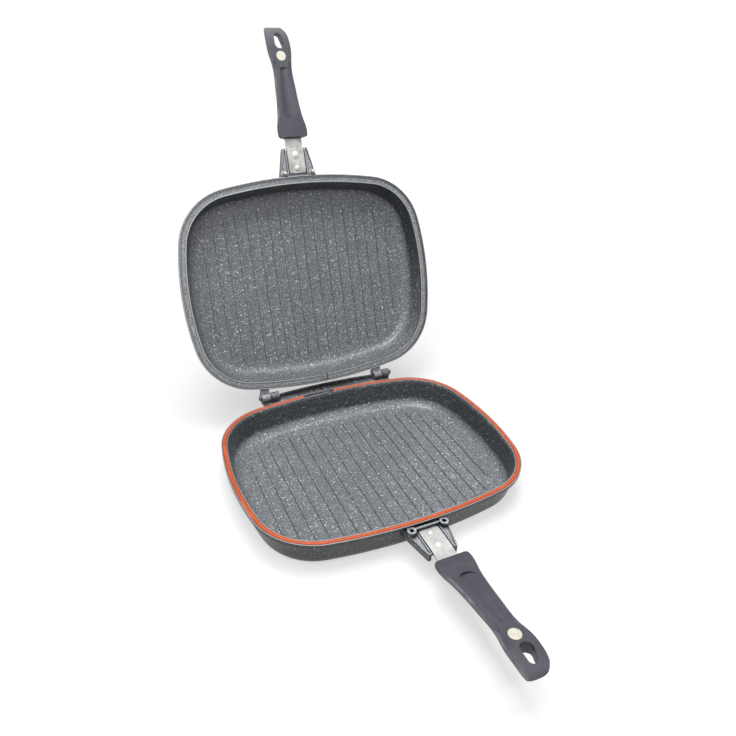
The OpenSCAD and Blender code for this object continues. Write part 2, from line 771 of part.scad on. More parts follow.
module grip_solid() {
    stations = concat([for (i = [0 : row_total - 1]) for (k = [0 : row_steps - 1])
        [for (c = [0 : 5]) between(i, k / row_steps, c)]], [row(row_total)]);
    loft([for (s = stations) s[0]], [for (s = stations) grip_section(s)]);
}

// two round ends joined by straight sides that touch both
module tapered_slot(from, length, front_d, tail_d, low, high) {
    a = front_d / 2;
    b = tail_d / 2;
    span = length - a - b;
    lean = asin((a - b) / span);
    translate([0, 0, low]) linear_extrude(high - low) {
        translate([0, -from - a]) circle(r = a);
        translate([0, -from - length + b]) circle(r = b);
        polygon([
            [a * cos(lean), -from - a - a * sin(lean)], [-a * cos(lean), -from - a - a * sin(lean)],
            [-b * cos(lean), -from - length + b - b * sin(lean)],
            [b * cos(lean), -from - length + b - b * sin(lean)]]);
    }
}

// a shallow scoop, round across, with a round step at each end
module thumb_scoop() {
    front = thumb_front / 2 + 0.5;
    tail = thumb_tail / 2 + 0.5;
    stations = concat(
        [for (t = [15 : 15 : 90]) [thumb_start + front * (1 - cos(t)), front * sin(t), thumb_front]],
        [for (t = [90 : -15 : 15]) [thumb_start + thumb_length - tail * (1 - cos(t)),
            tail * sin(t), thumb_tail]]);
    loft([for (s = stations) s[0]], [for (s = stations)
        let (r = (pow(s[2] / 2, 2) + pow(thumb_depth, 2)) / (2 * thumb_depth))
        concat([[s[1], -2]], [for (j = [4 : -1 : -4]) let (x = s[1] * j / 4)
            [x, thumb_depth - r + sqrt(r * r - x * x)]], [[-s[1], -2]])]);
}

module grip(side) {
    fit = 0.05;
    difference() {
        on_handle_plane() mirror([0, 0, side > 0 ? 0 : 1])
            translate([0, -grip_front, face_gap]) difference() {
                grip_solid();
                thumb_scoop();
                translate([0, -hole_start - hole_length / 2, 0]) rotate([0, 0, -hole_turn])
                    tapered_slot(-hole_length / 2, hole_length, hole_wide, hole_narrow, -5, 40);
                translate([0, -magnet_place, -5])
                    cylinder(d = cap_diameter, h = 5 + cap_thickness);
                translate([0, -magnet_place, -5])
                    cylinder(d = magnet_diameter, h = 5 + cap_thickness + magnet_thickness);
                translate([0, -screw_place, tang_plane])
                    cylinder(d = screw_diameter, h = 40);
                translate([0, -screw_place, screw_level])
                    cylinder(d = screw_head + 0.6, h = 40);
            }
        tang_plate(side, fit);
    }
}

// level of the screw head's seat above the flat face
screw_level = tang_plane + tang_thickness - face_gap + screw_seat;

module in_grip(side) {
    on_handle_plane() mirror([0, 0, side > 0 ? 0 : 1])
        translate([0, -grip_front, face_gap]) children();
}

module magnet() translate([0, -magnet_place, cap_thickness])
    cylinder(d = magnet_diameter, h = magnet_thickness);

module magnet_cap() translate([0, -magnet_place, 0])
    cylinder(d = cap_diameter, h = cap_thickness);

module grip_screw() translate([0, -screw_place, 0]) {
    translate([0, 0, tang_plane - face_gap]) cylinder(d = screw_diameter,
        h = screw_level - tang_plane + face_gap + 0.5);
    difference() {
        translate([0, 0, screw_level]) cylinder(d = screw_head, h = screw_head_thickness);
        for (a = [0, 90]) rotate([0, 0, a])
            translate([-2.2, -0.5, screw_level + screw_head_thickness - 1.2]) cube([4.4, 1, 2]);
    }
}

module lower_grip() color(bakelite) standing() grip(-1);

module upper_grip() color(bakelite) opened() grip(1);

module lower_magnet() color(steel) standing() in_grip(-1) magnet();

module upper_magnet() color(steel) opened() in_grip(1) magnet();

module lower_magnet_cap() color(nickel) standing() in_grip(-1) magnet_cap();

module upper_magnet_cap() color(nickel) opened() in_grip(1) magnet_cap();

module lower_grip_screw() color(steel) standing() in_grip(-1) grip_screw();

module upper_grip_screw() color(steel) opened() in_grip(1) grip_screw();

lower_pan();
gasket();
lower_tang();
lower_rivet_inner();
lower_rivet_outer();
lower_grip();
lower_magnet();
lower_magnet_cap();
lower_grip_screw();
hinge_pin_left();
hinge_pin_right();
upper_pan();
upper_tang();
upper_rivet_inner();
upper_rivet_outer();
upper_grip();
upper_magnet();
upper_magnet_cap();
upper_grip_screw();
locating_peg_left();
locating_peg_right();
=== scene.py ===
import json
import math

import bpy
from mathutils import Matrix, Vector

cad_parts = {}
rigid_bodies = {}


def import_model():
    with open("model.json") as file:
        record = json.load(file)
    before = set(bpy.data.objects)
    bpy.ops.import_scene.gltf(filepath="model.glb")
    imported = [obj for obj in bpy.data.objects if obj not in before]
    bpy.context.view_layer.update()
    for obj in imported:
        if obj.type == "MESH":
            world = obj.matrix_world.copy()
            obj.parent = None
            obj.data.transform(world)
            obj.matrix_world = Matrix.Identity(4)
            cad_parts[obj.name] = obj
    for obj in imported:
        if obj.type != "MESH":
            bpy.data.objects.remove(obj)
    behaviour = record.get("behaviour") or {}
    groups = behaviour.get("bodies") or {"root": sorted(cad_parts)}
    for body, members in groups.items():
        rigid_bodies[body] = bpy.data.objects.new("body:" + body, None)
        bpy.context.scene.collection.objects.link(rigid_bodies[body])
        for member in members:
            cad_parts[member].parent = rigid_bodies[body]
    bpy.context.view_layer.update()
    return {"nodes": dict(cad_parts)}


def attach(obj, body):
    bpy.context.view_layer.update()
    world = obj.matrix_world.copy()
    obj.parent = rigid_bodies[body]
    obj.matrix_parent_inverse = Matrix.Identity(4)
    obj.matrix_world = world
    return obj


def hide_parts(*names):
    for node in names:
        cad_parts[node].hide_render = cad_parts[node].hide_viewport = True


for left_over in list(bpy.data.objects):
    bpy.data.objects.remove(left_over)
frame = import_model()
nodes = frame["nodes"]


# The lower pan. It is one pressure die casting in aluminium, with grill ribs, back
# ledge, knuckles and handle bracket, sprayed with a grey stone effect coat. Its rim
# is then turned bright on both sides of the gasket groove.

PARTING = 0.038          # height of the plane where the two rims meet
BRACKET_FROM = -0.1285   # where a bracket leaves the wall, and where it stands clear
BRACKET_CLEAR = -0.1305
# the colour of the painted shade in the corners of the castings
PAINTED_CORNER_SHADE = (0.014, 0.015, 0.017, 1)
RUBBED_BARE = (0.36, 0.37, 0.375, 1)
TURNED = (0.36, 0.365, 0.36, 1)


def put(tree, kind, feeds=None, **settings):
    """Adds a shader node, with its settings, and sets or links its inputs."""
    made = tree.nodes.new("ShaderNode" + kind)
    for key, value in settings.items():
        setattr(made, key, value)
    for key, value in (feeds or {}).items():
        if isinstance(value, bpy.types.NodeSocket):
            tree.links.new(value, made.inputs[key])
        else:
            made.inputs[key].default_value = value
    return made


def sums(tree, operation, *values, clamp=False):
    """The result of one Math node."""
    return put(tree, "Math", dict(enumerate(values)), operation=operation,
               use_clamp=clamp).outputs[0]


def ramp(tree, value, low, high, to_low=0.0, to_high=1.0):
    """A value carried from one range to another, smoothly and clamped."""
    return put(tree, "MapRange", {"Value": value, "From Min": low, "From Max": high,
                                  "To Min": to_low, "To Max": to_high},
               interpolation_type="SMOOTHSTEP").outputs["Result"]


def tint(tree, factor, first, second):
    """Two colours mixed."""
    return put(tree, "Mix", {0: factor, 6: first, 7: second}, data_type="RGBA",
               clamp_factor=True).outputs[2]


def new_group(name, takes, gives):
    """An empty shader group with named inputs and outputs."""
    group = bpy.data.node_groups.new(name, "ShaderNodeTree")
    for label, kind, value in takes:
        socket = group.interface.new_socket(label, in_out="INPUT", socket_type=kind)
        if value is not None:
            socket.default_value = value
    for label, kind in gives:
        group.interface.new_socket(label, in_out="OUTPUT", socket_type=kind)
    return group, group.nodes.new("NodeGroupInput"), group.nodes.new("NodeGroupOutput")


def use_group(tree, group, feeds):
    """Places a group in a material and sets or links its inputs."""
    return put(tree, "Group", feeds, node_tree=group)


def flecks(tree, coords, scale, size, share):
    """Round specks of paint: a share of the cells of a cell pattern, each with
    its own size."""
    cells = put(tree, "TexVoronoi", {"Vector": coords, "Scale": scale, "Randomness": 1.0})
    draw = put(tree, "SeparateColor", {"Color": cells.outputs["Color"]})
    radius = sums(tree, "MULTIPLY_ADD", draw.outputs[0], size * 0.65, size * 0.35)
    chosen = sums(tree, "LESS_THAN", draw.outputs[1], share)
    inside = ramp(tree, sums(tree, "DIVIDE", cells.outputs["Distance"], radius), 1.0, 0.78)
    return sums(tree, "MULTIPLY", inside, chosen)


# the sprayed stone effect: a mottled grey ground, fine dark and pale grains,
# and larger pale flecks that lie thinly over it
stone, stone_in, stone_out = new_group(
    "stone_effect",
    [("Vector", "NodeSocketVector", None), ("Ground", "NodeSocketColor", (0.1, 0.1, 0.1, 1)),
     ("Shade", "NodeSocketColor", (0.05, 0.05, 0.05, 1)),
     ("Fleck", "NodeSocketColor", (0.7, 0.7, 0.7, 1)),
     ("Spray", "NodeSocketFloat", 1.0)],
    [("Color", "NodeSocketColor"), ("Roughness", "NodeSocketFloat"),
     ("Height", "NodeSocketFloat")])
where = stone_in.outputs["Vector"]
cloud = put(stone, "TexNoise", {"Vector": where, "Scale": 28.0, "Detail": 3.0}).outputs["Fac"]
mottle = put(stone, "TexNoise", {"Vector": where, "Scale": 520.0, "Detail": 3.0,
                                 "Roughness": 0.65}).outputs["Fac"]
sprayed = stone_in.outputs["Spray"]
grains = sums(stone, "MULTIPLY", ramp(stone, mottle, 0.36, 0.64, 0.4, 1.0), sprayed)
ground = tint(stone, grains, stone_in.outputs["Shade"], stone_in.outputs["Ground"])
# the spray lies a little thicker in some places than in others
spread = ramp(stone, cloud, 0.3, 0.7, 0.35, 0.7)
fine = sums(stone, "MULTIPLY", flecks(stone, where, 760.0, 0.5, spread), 0.32)
large = sums(stone, "MULTIPLY", flecks(stone, where, 470.0, 0.42, spread), 0.62)
rare = flecks(stone, where, 270.0, 0.31, sums(stone, "MULTIPLY", spread, 0.6))
pale = sums(stone, "MAXIMUM", sums(stone, "MAXIMUM", fine, large), rare)
pale = sums(stone, "MULTIPLY", pale, ramp(stone, sprayed, 0.02, 0.3, 0.35, 1.0), clamp=True)
dark = flecks(stone, where, 610.0, 0.4, 0.3)
speckled = tint(stone, sums(stone, "MULTIPLY", dark, 0.5), ground, (0.018, 0.019, 0.022, 1))
stone.links.new(tint(stone, pale, speckled, stone_in.outputs["Fleck"]),
                stone_out.inputs["Color"])
stone.links.new(ramp(stone, mottle, 0.3, 0.7, 0.27, 0.39), stone_out.inputs["Roughness"])
peel = put(stone, "TexNoise", {"Vector": where, "Scale": 330.0, "Detail": 2.0}).outputs["Fac"]
stone.links.new(sums(stone, "MULTIPLY_ADD", pale, 0.5, peel), stone_out.inputs["Height"])

# edge wear: how far the rounded normal of a Bevel node leaves the real one
wear, wear_in, wear_out = new_group(
    "worn_edge",
    [("Rounded", "NodeSocketVector", None), ("Vector", "NodeSocketVector", None),
     ("Reach", "NodeSocketFloat", 0.08), ("Breakup", "NodeSocketFloat", 240.0)],
    [("Mask", "NodeSocketFloat")])
flat = put(wear, "NewGeometry").outputs["Normal"]
turned = put(wear, "VectorMath", {0: wear_in.outputs["Rounded"], 1: flat},
             operation="DOT_PRODUCT").outputs["Value"]
bend = sums(wear, "SUBTRACT", 1.0, turned)
edge = sums(wear, "DIVIDE", bend, wear_in.outputs["Reach"], clamp=True)
patchy = put(wear, "TexNoise", {"Vector": wear_in.outputs["Vector"],
                                "Scale": wear_in.outputs["Breakup"],
                                "Detail": 2.0}).outputs["Fac"]
wear.links.new(sums(wear, "MULTIPLY", edge, ramp(wear, patchy, 0.3, 0.6, 0.35, 1.0)),
               wear_out.inputs["Mask"])


def new_material(name):
    """A material with an empty Principled shader on its output."""
    made = bpy.data.materials.new(name)
    made.use_nodes = True
    tree = made.node_tree
    tree.nodes.clear()
    out = put(tree, "OutputMaterial")
    shader = put(tree, "BsdfPrincipled")
    tree.links.new(shader.outputs["BSDF"], out.inputs["Surface"])
    return made, tree, shader


def corners(tree, reach, depth, shut=0.45, clear=0.9, alone=True):
    """How deep a place lies in a corner: 0 from the open sky that clear gives on, and depth at
    shut or less. Other pieces count too where alone is False. The materials darken their colours
    with it as painted shade."""
    open_sky = put(tree, "AmbientOcclusion", {"Distance": reach}, samples=6,
                   only_local=alone).outputs["AO"]
    return ramp(tree, open_sky, shut, clear, depth, 0.0)


def stone_coat(name, masks):
    """The coated casting. masks gives the bright turned metal, how thickly the pale paint was
    sprayed, which also paints light and shade on the faces by how they lie, and how deep the
    painted shade in the corners goes, all from the place on the casting."""
    made, tree, shader = new_material(name)
    place = put(tree, "TexCoord").outputs["Object"]
    turned_metal, spray_and_painted_light, corner_shade_depth = masks(tree, place)
    coat = use_group(tree, stone, {
        "Vector": place, "Ground": (0.45, 0.478, 0.518, 1), "Shade": (0.031, 0.035, 0.041, 1),
        "Fleck": (0.80, 0.81, 0.80, 1), "Spray": spray_and_painted_light})
    shader.inputs["Specular IOR Level"].default_value = 0.5
    rounded = put(tree, "Bevel", {"Radius": 0.0005}, samples=6).outputs["Normal"]
    worn = use_group(tree, wear, {"Rounded": rounded, "Vector": place, "Reach": 0.22})
    pale_edges = tint(tree, sums(tree, "MULTIPLY", worn.outputs["Mask"], 0.5),
                  coat.outputs["Color"], RUBBED_BARE)
    # painted shade: ambient occlusion darkens the corners at the feet of the ribs and round the
    # lands
    reach = sums(tree, "MULTIPLY_ADD", corner_shade_depth, 0.0028, 0.0022)
    most = sums(tree, "MULTIPLY_ADD", corner_shade_depth, 0.33, 0.6)
    shut = sums(tree, "MULTIPLY_ADD", corner_shade_depth, 0.15, 0.45)
    clear = sums(tree, "MULTIPLY_ADD", corner_shade_depth, 0.03, 0.9)
    bright = tint(tree, turned_metal, pale_edges, TURNED)
    tree.links.new(tint(tree, corners(tree, reach, most, shut, clear), bright, PAINTED_CORNER_SHADE),
                   shader.inputs["Base Color"])
    tree.links.new(sums(tree, "MULTIPLY", turned_metal, 0.85), shader.inputs["Metallic"])
    rough = put(tree, "Mix", {0: turned_metal, 2: coat.outputs["Roughness"], 3: 0.46})
    tree.links.new(rough.outputs[0], shader.inputs["Roughness"])
    relief = sums(tree, "MULTIPLY", coat.outputs["Height"],
                  sums(tree, "SUBTRACT", 1.0, turned_metal))
    bump = put(tree, "Bump", {"Height": relief, "Strength": 0.32, "Distance": 0.00012,
                              "Normal": rounded})
    tree.links.new(bump.outputs["Normal"], shader.inputs["Normal"])
    return made


def lower_masks(tree, place):
    """Bright metal: the narrow faces turned flat at the parting plane, without the eyes. Spray,
    which also paints light and shade: thick on the floor and on the upward faces of the bracket
    and ledge, which read lighter, thin on the walls and none on the pale ground outside, which
    read darker as painted shade. Deeper painted corner shade: bracket and hinge."""
    axes = put(tree, "SeparateXYZ", {"Vector": place})
    height, depth = axes.outputs["Z"], axes.outputs["Y"]
    high = sums(tree, "GREATER_THAN", height, PARTING - 0.00012)
    low = sums(tree, "LESS_THAN", height, PARTING + 0.0001)
    front = sums(tree, "LESS_THAN", sums(tree, "ABSOLUTE", depth), 0.1268)
    metal = sums(tree, "MULTIPLY", sums(tree, "MULTIPLY", high, low), front)
    wall = sums(tree, "MULTIPLY", ramp(tree, height, 0.009, 0.017),
                ramp(tree, height, 0.0335, 0.0355, 1.0, 0.4))
    normal = put(tree, "TexCoord").outputs["Normal"]
    upward = put(tree, "SeparateXYZ", {"Vector": normal}).outputs["Z"]
    fork = ramp(tree, depth, BRACKET_FROM, BRACKET_CLEAR)
    # painted light and shade: the bracket's upward faces get more spray and read lighter, its
    # downward faces less
    bracket = sums(tree, "MULTIPLY", fork, ramp(tree, upward, 0.5, 0.9, 0.1, 1.5))
    outward = put(tree, "VectorMath", {0: normal, 1: place},
                  operation="DOT_PRODUCT").outputs["Value"]
    beside_fork = sums(tree, "SUBTRACT", 1.0, fork)
    wall = sums(tree, "MULTIPLY", wall, beside_fork)
    # painted shade: the walls get little spray and the outside none, so they read darker
    floors = ramp(tree, wall, 0.0, 1.0, 0.51, 0.07)
    pan = sums(tree, "MULTIPLY", ramp(tree, outward, 0.02, 0.05, 1.0, 0.0), floors)
    pan = sums(tree, "MULTIPLY", pan, beside_fork)
    # painted light and shade: the ledge's upward faces get more spray than its other faces
    ledge = sums(tree, "MULTIPLY", ramp(tree, depth, 0.127, 0.129),
                 ramp(tree, upward, 0.5, 0.9, 0.1, 0.4))
    hinge = ramp(tree, depth, 0.1275, 0.129, 0.0, 0.7)
    return (metal, sums(tree, "MAXIMUM", sums(tree, "MAXIMUM", pan, ledge), bracket),
            sums(tree, "MAXIMUM", fork, hinge))


def cast_copy(node, name, body):
    """A merged copy of a CAD solid with its small steps closed and its shading
    smoothed across the facets of each fillet. It stands for the solid."""
    bpy.ops.object.select_all(action="DESELECT")
    nodes[node].select_set(True)
    bpy.context.view_layer.objects.active = nodes[node]
    bpy.ops.object.duplicate()
    made = bpy.context.active_object
    made.parent = None
    made.name = name
    for key in list(made.keys()):
        if key.startswith("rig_"):
            del made[key]
    bpy.ops.object.mode_set(mode="EDIT")
    bpy.ops.mesh.select_all(action="SELECT")
    bpy.ops.mesh.customdata_custom_splitnormals_clear()
    bpy.ops.mesh.remove_doubles(threshold=0.000001)
    bpy.ops.mesh.mark_sharp(clear=True)
    bpy.ops.object.mode_set(mode="OBJECT")
    bpy.ops.object.shade_smooth_by_angle(angle=math.radians(24))
    weighted = made.modifiers.new("flat faces stay flat", "WEIGHTED_NORMAL")
    weighted.keep_sharp = True
    weighted.weight = 60
    bpy.ops.object.modifier_apply(modifier=weighted.name)
    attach(made, body)
    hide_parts(node)
    return made


lower_cast = cast_copy("lower_pan", "lower_pan_casting", "lower_half")
lower_cast.data.materials.clear()
lower_cast.data.materials.append(stone_coat("stone_coat_lower", lower_masks))


# The gasket. A cord of orange red silicone with a domed back, pressed into the
# groove of the lower rim. It stops short on both sides of the steam channel.

gasket_rubber, tree, shader = new_material("gasket_silicone")
place = put(tree, "TexCoord").outputs["Object"]
shade = put(tree, "TexNoise", {"Vector": place, "Scale": 90.0, "Detail": 3.0}).outputs["Fac"]
dust = put(tree, "TexNoise", {"Vector": place, "Scale": 1500.0, "Detail": 2.0}).outputs["Fac"]
tone = tint(tree, ramp(tree, shade, 0.3, 0.7), (0.64, 0.112, 0.034, 1), (0.74, 0.142, 0.046, 1))
tone = tint(tree, ramp(tree, dust, 0.6, 0.8, 0.0, 0.16), tone, (0.8, 0.32, 0.18, 1))
# painted shade: the sides of the domed cord, which turn from the sky, and the gap beside it are
# darkened, and the back is left light
upward = put(tree, "SeparateXYZ", {"Vector": put(tree, "TexCoord").outputs["Normal"]}).outputs["Z"]
painted_edge_shade = ramp(tree, upward, 0.82, 0.98, 0.75, 0.0)
painted_edge_shade = sums(tree, "MAXIMUM", painted_edge_shade, corners(tree, 0.0015, 0.9, alone=False))
tree.links.new(tint(tree, painted_edge_shade, tone, (0.22, 0.020, 0.008, 1)), shader.inputs["Base Color"])
tree.links.new(ramp(tree, shade, 0.3, 0.7, 0.42, 0.54), shader.inputs["Roughness"])
shader.inputs["Specular IOR Level"].default_value = 0.3
shader.inputs["Subsurface Weight"].default_value = 0.05
shader.inputs["Subsurface Radius"].default_value = (0.002, 0.0008, 0.0004)
skin = put(tree, "Bump", {"Height": dust, "Strength": 0.15, "Distance": 0.00005})
tree.links.new(skin.outputs["Normal"], shader.inputs["Normal"])
nodes["gasket"].data.materials.clear()
nodes["gasket"].data.materials.append(gasket_rubber)


# The two tangs. Each is a stainless strip, blanked, stepped and bent, riveted
# to the bracket at one end and moulded into the grip at the other.


OPEN_ANGLE = math.radians(110.7)   # how far the lid leans back from shut
ROUNDED_FROM = math.radians(30)    # corners sharper than this are rounded off


def solid_copy(node, name, body, edge):
    """A merged copy of a CAD solid whose corners are rounded off for real."""
    made = cast_copy(node, name, body)
    bpy.ops.object.mode_set(mode="EDIT")
    bpy.ops.mesh.select_all(action="SELECT")
    bpy.ops.mesh.dissolve_limited(angle_limit=math.radians(0.5))
    bpy.ops.object.mode_set(mode="OBJECT")
    round_off = made.modifiers.new("rounded corners", "BEVEL")
    round_off.width = edge
    round_off.segments = 2
    round_off.limit_method = "ANGLE"
    round_off.angle_limit = ROUNDED_FROM
    round_off.harden_normals = False
    bpy.ops.object.modifier_apply(modifier=round_off.name)
    bpy.ops.object.shade_smooth_by_angle(angle=math.radians(40))
    weighted = made.modifiers.new("flat faces stay flat", "WEIGHTED_NORMAL")
    weighted.keep_sharp = True
    bpy.ops.object.modifier_apply(modifier=weighted.name)
    return made


# fine lines left by rolling or turning, as a value that varies across them
lines, lines_in, lines_out = new_group(
    "drawn_lines",
    [("Vector", "NodeSocketVector", None), ("Along", "NodeSocketVector", (1.0, 1.0, 1.0)),
     ("Scale", "NodeSocketFloat", 900.0)],
    [("Value", "NodeSocketFloat")])
stretched = put(lines, "VectorMath", {0: lines_in.outputs["Vector"], 1: lines_in.outputs["Along"]},
                operation="MULTIPLY").outputs["Vector"]
drawn = put(lines, "TexNoise", {"Vector": stretched, "Scale": lines_in.outputs["Scale"],
                                "Detail": 4.0, "Roughness": 0.6}).outputs["Fac"]
lines.links.new(drawn, lines_out.inputs["Value"])


def rolled_steel(name, turn, shade_and_tarnish):
    """Satin stainless strip, rolled along the handle. turn is the lean of the strip from the
    ground, so that the lines follow it, and the last argument how far blotches darken it: a little
    heat tarnish on both strips, and much more on the upper strip as painted shade."""
    made, tree, shader = new_material(name)
    place = put(tree, "TexCoord").outputs["Object"]
    level = put(tree, "Mapping", {"Vector": place, "Rotation": (turn, 0.0, 0.0)},
                vector_type="POINT").outputs["Vector"]
    rolled = use_group(tree, lines, {"Vector": level, "Along": (1.0, 0.05, 1.0),
                                     "Scale": 2600.0}).outputs["Value"]
    blotch = put(tree, "TexNoise", {"Vector": place, "Scale": 170.0, "Detail": 4.0,
                                    "Roughness": 0.7}).outputs["Fac"]
    tone = tint(tree, ramp(tree, blotch, 0.32, 0.68), (0.48, 0.48, 0.47, 1),
                (0.60, 0.60, 0.59, 1))
    tone = tint(tree, ramp(tree, rolled, 0.35, 0.65, 0.0, 0.25), tone, (0.36, 0.355, 0.34, 1))
    # blotches darken the strip: a little heat tarnish, and on the upper strip painted shade
    dull = put(tree, "TexNoise", {"Vector": place, "Scale": 70.0, "Detail": 2.0}).outputs["Fac"]
    tone = tint(tree, ramp(tree, dull, 0.3, 0.6, 0.2 * shade_and_tarnish, shade_and_tarnish), tone,
                (0.20, 0.20, 0.18, 1))
    # painted shade: ambient occlusion from the rivets, bracket and grip darkens the strip beside
    # them
    tree.links.new(tint(tree, corners(tree, 0.0026, 0.95, 0.55, 0.97, alone=False), tone,
                        (0.05, 0.05, 0.05, 1)),
                   shader.inputs["Base Color"])
    shader.inputs["Metallic"].default_value = 0.9
    tree.links.new(ramp(tree, rolled, 0.3, 0.7, 0.4, 0.54), shader.inputs["Roughness"])
    bump = put(tree, "Bump", {"Height": rolled, "Strength": 0.25, "Distance": 0.00004})
    tree.links.new(bump.outputs["Normal"], shader.inputs["Normal"])
    return made


# the upper strip is darkened far more than the lower one, as painted shade
for half, node, turn, shade_and_tarnish in (("lower_half", "lower_tang", 0.0, 0.05),
                                  ("upper_half", "upper_tang", OPEN_ANGLE, 0.7)):
    strip = solid_copy(node, node + "_strip", half, 0.0003)
    strip.data.materials.clear()
    strip.data.materials.append(rolled_steel(node + "_steel", turn, shade_and_tarnish))


# The rivets. Solid aluminium, with a turned dome on the tang and a closing
# head under the bracket's tongue.

rivet_metal, tree, shader = new_material("rivet_aluminium")
place = put(tree, "TexCoord").outputs["Object"]
dents = put(tree, "TexNoise", {"Vector": place, "Scale": 900.0, "Detail": 3.0}).outputs["Fac"]
tone = tint(tree, ramp(tree, dents, 0.35, 0.65), (0.66, 0.66, 0.65, 1), (0.74, 0.74, 0.73, 1))
# painted shade: ambient occlusion darkens the foot of the head, where it meets the tang
tree.links.new(tint(tree, corners(tree, 0.0025, 0.9, alone=False), tone, (0.05, 0.05, 0.05, 1)),
               shader.inputs["Base Color"])
shader.inputs["Metallic"].default_value = 0.25
tree.links.new(ramp(tree, dents, 0.3, 0.7, 0.5, 0.62), shader.inputs["Roughness"])
bump = put(tree, "Bump", {"Height": dents, "Strength": 0.12, "Distance": 0.00008})
tree.links.new(bump.outputs["Normal"], shader.inputs["Normal"])
for half in ("lower", "upper"):
    for which in ("inner", "outer"):
        rivet = nodes[f"{half}_rivet_{which}"]
        rivet.data.materials.clear()
        rivet.data.materials.append(rivet_metal)


# The two grips. Compression moulded bakelite, blue grey, with a thumb groove,
# a waist and a hanging hole. The flat faces meet when the pan is shut.

# the fine texture of a moulded face
grain, grain_in, grain_out = new_group(
    "moulded_grain",
    [("Vector", "NodeSocketVector", None), ("Scale", "NodeSocketFloat", 1800.0)],
    [("Height", "NodeSocketFloat"), ("Tone", "NodeSocketFloat")])
pores = put(grain, "TexNoise", {"Vector": grain_in.outputs["Vector"],
                                "Scale": grain_in.outputs["Scale"], "Detail": 3.0,
                                "Roughness": 0.6}).outputs["Fac"]
flow = put(grain, "TexNoise", {"Vector": grain_in.outputs["Vector"], "Scale": 60.0,
                               "Detail": 3.0, "Distortion": 0.6}).outputs["Fac"]
grain.links.new(pores, grain_out.inputs["Height"])
grain.links.new(flow, grain_out.inputs["Tone"])


def bakelite(name, up):
    """Moulded bakelite. up is the way that the flat face looks, so that the pale line along the
    moulded edges, a painted highlight, is found."""
    made, tree, shader = new_material(name)
    coords = put(tree, "TexCoord")
    place = coords.outputs["Object"]
    surface = use_group(tree, grain, {"Vector": place, "Scale": 2100.0})
    tone = tint(tree, ramp(tree, surface.outputs["Tone"], 0.3, 0.7), (0.048, 0.049, 0.065, 1),
                (0.063, 0.064, 0.083, 1))
    # painted shade: ambient occlusion darkens the thumb groove's edges, the hanging hole and other
    # corners
    tone = tint(tree, corners(tree, 0.005, 0.8), tone, (0.007, 0.007, 0.009, 1))
    facing = put(tree, "VectorMath", {0: coords.outputs["Normal"], 1: up},
                 operation="DOT_PRODUCT").outputs["Value"]
    # painted highlight: a pale line where the rounded edges turn away from the flat face, broken
    # up by noise
    edge_highlight = sums(tree, "MULTIPLY", ramp(tree, facing, 0.3, 0.5),
                 ramp(tree, facing, 0.75, 0.9, 1.0, 0.0))
    patchy = put(tree, "TexNoise", {"Vector": place, "Scale": 70.0, "Detail": 2.0}).outputs["Fac"]
    pale_edges = sums(tree, "MULTIPLY", edge_highlight, ramp(tree, patchy, 0.3, 0.6, 0.3, 0.75))
    tree.links.new(tint(tree, pale_edges, tone, (0.27, 0.275, 0.30, 1)), shader.inputs["Base Color"])
    tree.links.new(ramp(tree, surface.outputs["Tone"], 0.3, 0.7, 0.4, 0.52),
                   shader.inputs["Roughness"])
    bump = put(tree, "Bump", {"Height": surface.outputs["Height"], "Strength": 0.22,
                              "Distance": 0.00005})
    tree.links.new(bump.outputs["Normal"], shader.inputs["Normal"])
    return made


for half, node, up in (("lower_half", "lower_grip", (0.0, 0.0, 1.0)),
                       ("upper_half", "upper_grip",
                        (0.0, -math.sin(OPEN_ANGLE), -math.cos(OPEN_ANGLE)))):
    moulding = cast_copy(node, node + "_moulding", half)
    moulding.data.materials.clear()
    moulding.data.materials.append(bakelite(node + "_bakelite", up))


# Magnets and their caps. A small disc magnet lies in a pocket near the end of
# each grip under a pale plated cap, so the shut handles hold together.

magnet_core, tree, shader = new_material("sintered_magnet")
place = put(tree, "TexCoord").outputs["Object"]
surface = use_group(tree, grain, {"Vector": place, "Scale": 1500.0})
tree.links.new(tint(tree, surface.outputs["Height"], (0.05, 0.05, 0.052, 1),
                    (0.11, 0.11, 0.112, 1)), shader.inputs["Base Color"])
shader.inputs["Metallic"].default_value = 0.6
tree.links.new(ramp(tree, surface.outputs["Height"], 0.3, 0.7, 0.5, 0.7),
               shader.inputs["Roughness"])

cap_plate, tree, shader = new_material("plated_cap")
place = put(tree, "TexCoord").outputs["Object"]
surface = use_group(tree, grain, {"Vector": place, "Scale": 1300.0})
blotch = put(tree, "TexNoise", {"Vector": place, "Scale": 420.0, "Detail": 3.0}).outputs["Fac"]
tree.links.new(tint(tree, ramp(tree, blotch, 0.35, 0.65), (0.72, 0.68, 0.55, 1),
                    (0.80, 0.77, 0.65, 1)), shader.inputs["Base Color"])
shader.inputs["Metallic"].default_value = 0.1
tree.links.new(ramp(tree, blotch, 0.35, 0.65, 0.5, 0.62), shader.inputs["Roughness"])
bump = put(tree, "Bump", {"Height": surface.outputs["Height"], "Strength": 0.1,
                          "Distance": 0.00005})
tree.links.new(bump.outputs["Normal"], shader.inputs["Normal"])
for half in ("lower", "upper"):
    nodes[f"{half}_magnet"].data.materials.clear()
    nodes[f"{half}_magnet"].data.materials.append(magnet_core)
    cap = solid_copy(f"{half}_magnet_cap", f"{half}_cap_disc", f"{half}_half", 0.0003)
    cap.data.materials.clear()
    cap.data.materials.append(cap_plate)


# Grip screws, hinge pins and locating pegs. Plated steel, turned; the pins
# have round heads and took some of the coat's overspray.

